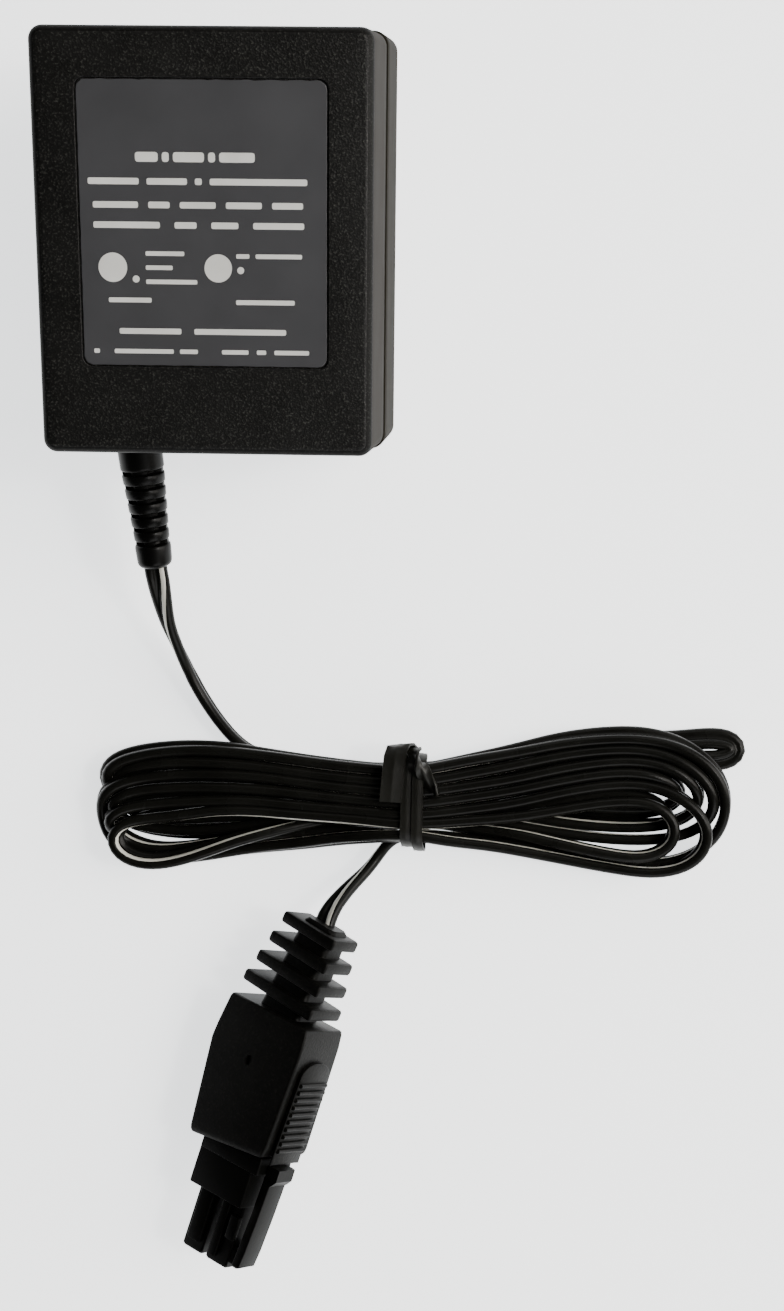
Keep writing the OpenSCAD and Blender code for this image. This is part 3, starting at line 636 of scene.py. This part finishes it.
stations = [(-1.2, None), (0.1, None), (1.5, None), (3.0, None), (3.9, None)]
for i in range(6):
    s0 = 4.45 + 2.57 * i
    stations += [(s0 - 0.2, "a"), (s0 - 0.02, "b"), (s0 + 0.07, "c"), (s0 + 0.13, "slot"), (s0 + 0.7, "slot"), (s0 + 0.76, "c"),
        (s0 + 0.85, "b"), (s0 + 1.03, "a")]
stations += [(18.8, None), (20.0, None), (21.0, None), (21.4, None), (21.7, None), (21.9, None), (22.1, None), (22.3, None), (22.4, None)]
NA = 48
rings = []
for s, kind in stations:
    ring = []
    for i in range(NA):
        ang = 2 * math.pi * i / NA
        r = prof(max(0, s))
        if kind == "b":
            r -= 0.1
        elif kind == "c":
            r -= 0.3
        elif kind == "slot":
            up_ = abs(math.sin(ang))
            web = up_ > 0.9
            r = r - 0.5 if web else r - 0.2 - 1.2 * max(0.0, min(1.0, (up_ - 0.3) / 0.25))
        ring.append(rel(s, ang, r))
    rings.append(ring)
v, f = loft(rings)
sleeve = make("relief_sleeve", v, f, [M_RELIEF], None, angle=40)
place_piece(sleeve, "relief", "strain_relief")

# ---------------------------------------------------------------- twist tie
def ribbon(line, width, thick, wire=0.42, closed=False):
    """line: points with a width direction each; a flat band with a wire ridge along its middle."""
    hw = width / 2
    prof_ = [(-hw, 0), (-hw + 0.08, thick / 2), (-0.55, thick / 2), (-0.28, wire), (0, wire + 0.1), (0.28, wire), (0.55, thick / 2),
        (hw - 0.08, thick / 2), (hw, 0), (hw - 0.08, -thick / 2), (0.55, -thick / 2), (0.2, -thick / 2 - 0.06), (-0.2, -thick / 2 - 0.06),
        (-0.55, -thick / 2), (-hw + 0.08, -thick / 2)]
    P = [Vector(p[0]) for p in line]
    D = [Vector(p[1]).normalized() for p in line]
    rr_ = []
    m_ = len(P)
    for i in range(m_):
        if closed:
            t = (P[(i + 1) % m_] - P[i - 1]).normalized()
        else:
            t = (P[min(i + 1, m_ - 1)] - P[max(i - 1, 0)]).normalized()
        w_ = (D[i] - t * D[i].dot(t)).normalized()
        n_ = w_.cross(t)
        rr_.append([tuple(P[i] + w_ * a_ + n_ * b_) for a_, b_ in prof_])
    if closed:
        v_, f_ = loft(rr_, False, False)
        k_ = len(prof_)
        for i in range(k_):
            j = (i + 1) % k_
            f_.append(((m_ - 1) * k_ + i, (m_ - 1) * k_ + j, j, i))
        return v_, f_
    return loft(rr_)


def around(xc, lean, y0, y1, z0, z1, r, wob, n_=72):
    """Closed turn round the bundle: a rounded rectangle in y and z."""
    pr = rr(y1 - y0, z1 - z0, r, 14, (y0 + y1) / 2, (z0 + z1) / 2)
    out = []
    for i, (y, z) in enumerate(pr):
        a_ = i / len(pr) * 2 * math.pi
        x = xc + lean * (z - 5) / 10 + wob * math.sin(a_ * 2 + 0.7) + wob * 0.5 * math.sin(a_ * 3)
        out.append(((x, y, z), (1, 0.12 * math.sin(a_ * 2), 0.1 * math.cos(a_))))
    return out


parts = [ribbon(around(33.2, 0.3, -105.8, -89.0, 0.36, 9.45, 3.6, 0.22), 2.2, 0.42, closed=True),
    ribbon(around(35.5, -0.3, -106.5, -89.0, 0.40, 9.75, 3.9, 0.26), 2.1, 0.42, closed=True)]
tab_line = [((33.4, -88.6, 5.6), (1, 0.1, 0)), ((32.6, -87.6, 7.0), (1, 0.12, 0.05)), ((31.9, -87.3, 8.4), (1, 0.14, 0.05)),
    ((31.3, -87.9, 9.5), (1, 0.14, 0.02)), ((30.9, -89.4, 10.2), (1, 0.12, 0)), ((30.7, -91.6, 10.4), (1, 0.1, -0.03)),
    ((30.5, -94.0, 10.4), (1, 0.08, -0.05)), ((30.3, -96.0, 10.2), (1, 0.06, -0.05)), ((30.2, -97.6, 9.9), (1, 0.05, -0.05))]
parts.append(ribbon(tab_line, 4.1, 0.5, 0.34))
end_line = []
for i in range(19):
    t = i / 18
    x = 34.3 + 1.8 * t + 2.8 * t * t
    y = -88.0 - 7.8 * t + 0.5 * math.sin(5 * t)
    z = 8.6 + 2.6 * math.sin(math.pi * min(1, t * 1.25)) * 0.75 + 0.8 * t
    th = 0.3 + 4.6 * t
    end_line.append(((x, y, z), (math.cos(th), 0.35 * math.sin(th * 0.7), 0.55 * math.sin(th))))
parts.append(ribbon(end_line, 2.9, 0.5, 0.4))
v, f, _ = merge(parts)
tie = make("tie_band", v, f, [M_TIE], None, angle=45)
place_piece(tie, "tie", "twist_tie")

# ---------------------------------------------------------------- plug
ROLL, YAW = 32.0, 16.7
PZ = 9.0 * math.sin(math.radians(ROLL)) + 6.0 * math.cos(math.radians(ROLL)) + 0.02
PM = Matrix.Translation((-0.7, -180.0, PZ)) @ Matrix.Rotation(math.radians(-YAW), 4, "Z") @ Matrix.Rotation(math.radians(-ROLL), 4, "Y")


def PL(p):
    return tuple(PM @ Vector(p))


def yring(y, w, h, r, cx=0.0, cz=0.0, n=6):
    return [(x, y, z) for x, z in rr(w, h, r, n, cx, cz)]


def blk(x0, x1, y0, y1, z0, z1, b=0.22):
    v_, f_ = bar(x0, x1, z0, z1, y0, y1, b)
    return [(x, z, y) for x, y, z in v_], f_


body = [yring(20.0, 16.4, 10.4, 0.4), yring(20.12, 17.3, 11.3, 0.45), yring(20.5, 17.8, 11.8, 0.5), yring(21.2, 18.0, 12.0, 0.5)]
body += [yring(y, 18.0, 12.0, 0.5) for y in (24, 28, 32, 35, 37.5, 40, 42.5)] + [yring(44.3, 17.6, 11.8, 0.45), yring(44.85, 17.3, 11.5, 0.4),
    yring(45.0, 16.8, 11.0, 0.35)]


def shape(x, y, z):
    """The nose end is cut back on the latch side; the upper face is widest near the cord end and tapers to the nose."""
    lift = (z + 6) / 12
    if x < 0:
        x -= lift * (1.7 * (y - 20) / 18 if y < 38 else 1.7 - 1.3 * (y - 38) / 8)
    else:
        x -= lift * 1.1 * max(0.0, 1 - (y - 20) / 20)
    if y < 24:
        y += 2.2 * max(0.0, (x - 1.5) / 7.5)
    if y > 44:
        y += 0.9 - 0.35 * x / 9
    return x, y, z


body = [[shape(*q_) for q_ in r_] for r_ in body]
v, f = loft(body)
boot = make("plug_body", v, f, [M_BOOT], None, angle=35, place=PL)
vv = [(-1.2 + 0.55 * math.cos(2 * math.pi * i / 24), 36.4 + 0.95 * math.sin(2 * math.pi * i / 24)) for i in range(24)]
vv, ff = loft([[(x, y, 5.45) for x, y in vv], [(x, y, 7.0) for x, y in vv]])
cut(boot, make("cutter", vv, ff, [M_BOOT], None, place=PL))

BEND = math.radians(7)


def bent(part):
    """The ribbed end leans a little to the latch side."""
    v_, f_ = part
    out = []
    for x, y, z in v_:
        k_ = min(1.0, max(0.0, (y - 44.0) / 2.0))
        d_ = y - 44.0
        out.append((-0.5 * k_ + x * math.cos(BEND * k_) + d_ * math.sin(BEND * k_), 44.0 + d_ * math.cos(BEND * k_) - x * math.sin(BEND * k_), z))
    return out, f_


extra = [bent(loft([yring(y, w, h, r, 0.3) for y, w, h, r in ((44.2, 9.8, 7.6, 1.0), (45.8, 9.0, 7.0, 1.0), (60, 7.8, 6.0, 1.2), (63.0, 7.2, 5.4, 1.2),
    (63.5, 6.4, 4.6, 1.2))]))]
for i in range(4):
    yc = 49.0 + 4.2 * i
    w2, h2 = (16.4 - 1.4 * i) / 2, (9.8 - 0.6 * i) / 2
    extra.append(bent(blk(-w2 - 0.7, w2 - 0.35, yc - 1.1, yc + 1.1, -h2, h2, 0.5)))
v, f, _ = merge(extra)
boot_tail = make("plug_boot", v, f, [M_BOOT], None, angle=35, place=PL)

# raised grip with ridges on both narrow sides
for sgn, nm in ((1, "grip_right"), (-1, "grip_left")):
    gp = []
    arch = []
    for i in range(25):
        a_ = math.pi * i / 24
        arch.append((37.3 + 2.6 * math.sin(a_), 4.3 * math.cos(a_)))
    outline = [(20.9, 4.3)] + arch + [(20.9, -4.3)]
    base = [(sgn * 8.8, y, z) for y, z in outline]
    mid = [(sgn * (9.0 + 0.62 * max(0, (y - 20) / 17)), y, z) for y, z in outline]
    top = [(sgn * (9.12 + 0.62 * max(0, (y - 20) / 17)), 20.9 + (y - 20.9) * 0.985 + 0.1, z * 0.94) for y, z in outline]
    gp.append(loft([base, mid, top]))
    for k in range(10):
        yk = 23.6 + 1.36 * k
        hx = 9.15 + 0.62 * (yk - 20) / 17
        line = []
        for q in range(7):
            a_ = math.pi * q / 6
            line.append((sgn * (hx + 0.55 * math.sin(a_)), yk - 0.42 * math.cos(a_)))
        ringA = [(x, y, -3.9) for x, y in line]
        ringB = [(x, y, 3.9) for x, y in line]
        gp.append(loft([[(sgn * (hx - 0.1), y, -4.1) for x, y in line], ringA, ringB, [(sgn * (hx - 0.1), y, 4.1) for x, y in line]]))
    v, f, _ = merge(gp)
    g_ = make("plug_" + nm, v, f, [M_BOOT], None, angle=35, place=PL)
    place_piece(g_, "overmould")
place_piece(boot, "overmould", "plug_overmould")
place_piece(boot_tail, "overmould")

nose = []
# collar behind the two tubes
nose.append(blk(-6.4, 5.9, 11.5, 20.1, -4.6, 4.6, 0.28))
nose.append(blk(-6.2, 7.3, 18.2, 21.4, -5.0, 4.9, 0.22))


def tube(x0, x1, cx):
    w_, c_ = x1 - x0, (x0 + x1) / 2
    o_ = [yring(y, w, h, r, c_) for y, w, h, r in ((12.2, w_, 4.8, 0.3), (0.4, w_, 4.8, 0.3), (0.0, w_ - 0.5, 4.3, 0.3))]
    i_ = [yring(y, 2.9, 2.9, 1.4, cx) for y in (0.0, 9.5)]
    return loft(o_ + i_, False, True)


nose += [tube(-5.2, -0.5, -2.7), tube(0.4, 5.4, 2.7)]
nose.append(blk(-4.4, -1.4, 1.8, 11.8, 2.2, 3.0, 0.2))
nose.append(blk(0.9, 2.6, 1.0, 11.8, 2.2, 2.9, 0.2))
# latch arm with its hook, standing off the side
arm = [yring(y, w, h, 0.2, cx, 0, 3) for y, w, h, cx in ((0.9, 1.0, 4.4, 7.0), (1.2, 1.6, 4.9, 7.2), (4, 1.7, 5.0, 7.5), (10, 1.7, 5.0, 7.9),
    (16.6, 1.7, 5.0, 8.2), (18.2, 1.7, 5.0, 8.2))]
latch = [loft(arm)]
hook = [[(7.6, y, z) for y, z in ((17.2, -2.5), (20.1, -2.5), (20.1, 2.5), (17.2, 2.5))],
    [(9.2, y, z) for y, z in ((16.9, -2.5), (20.2, -2.5), (20.2, 2.5), (16.9, 2.5))],
    [(10.1, y, z) for y, z in ((18.0, -2.4), (20.1, -2.4), (20.1, 2.4), (18.0, 2.4))]]
latch.append(loft(hook))
nose.append(blk(5.0, 7.4, 1.2, 3.8, -2.2, 2.2, 0.2))
# small light window piece between the tubes and the arm
nose.append(blk(3.6, 5.6, 5.2, 9.4, 2.2, 3.2, 0.15))
v, f, _ = merge(nose)
# The nose uses the darkened copy of the nylon with painted shade; the latch below uses the lighter copy with painted
# light.
nose_o = make("plug_nose", v, f, [M_NOSE_PAINTED_SHADE], None, angle=35, place=PL)
place_piece(nose_o, "housing", "plug_housing")
v, f, _ = merge(latch)
latch_o = make("plug_latch", v, f, [M_LATCH_PAINTED_LIGHT], None, angle=35, place=PL)
place_piece(latch_o, "housing")

# ---------------------------------------------------------------- floor
me = bpy.data.meshes.new("floor")
S = 1.6
me.from_pydata([(-S, -S, -0.0004), (S, -S, -0.0004), (S, S, -0.0004), (-S, S, -0.0004)], [], [(0, 1, 2, 3)])
floor = bpy.data.objects.new("floor", me)
bpy.context.scene.collection.objects.link(floor)
fm_ = bpy.data.materials.new("floor_paper")
fm_.use_nodes = True
fb = fm_.node_tree.nodes["Principled BSDF"]
fb.inputs["Base Color"].default_value = (0.9, 0.9, 0.9, 1)
fb.inputs["Roughness"].default_value = 0.9
fb.inputs["Specular IOR Level"].default_value = 0.2
fb.inputs["Emission Color"].default_value = (0.95, 0.98, 1.0, 1)
fb.inputs["Emission Strength"].default_value = 1.9
me.materials.append(fm_)

# ---------------------------------------------------------------- light
world = bpy.data.worlds.new("studio")
bpy.context.scene.world = world
world.use_nodes = True
world.node_tree.nodes["Background"].inputs["Color"].default_value = (1, 1, 1, 1)
world.node_tree.nodes["Background"].inputs["Strength"].default_value = 0.03


def area(name, loc, target, size, power, col=(1, 1, 1)):
    d = bpy.data.lights.new(name, "AREA")
    d.shape = "RECTANGLE"
    d.size, d.size_y = size
    d.energy = power
    d.color = col
    o = bpy.data.objects.new(name, d)
    bpy.context.scene.collection.objects.link(o)
    o.location = loc
    o.rotation_euler = (Vector(target) - Vector(loc)).to_track_quat("-Z", "Y").to_euler()
    return o


area("soft_right", (1.0, 0.1, 0.72), (0.03, -0.07, 0), (0.8, 1.2), 24.0, (1.0, 0.96, 0.90))
area("soft_rear", (0.35, 1.1, 0.75), (0.03, -0.07, 0), (1.2, 0.7), 4.5, (1.0, 0.98, 0.95))
area("small_key", (0.62, -0.05, 0.86), (0.07, -0.09, 0), (0.10, 0.10), 2.4)
area("soft_front", (0.6, -1.2, 0.7), (0.03, -0.07, 0), (1.2, 0.7), 10.0)
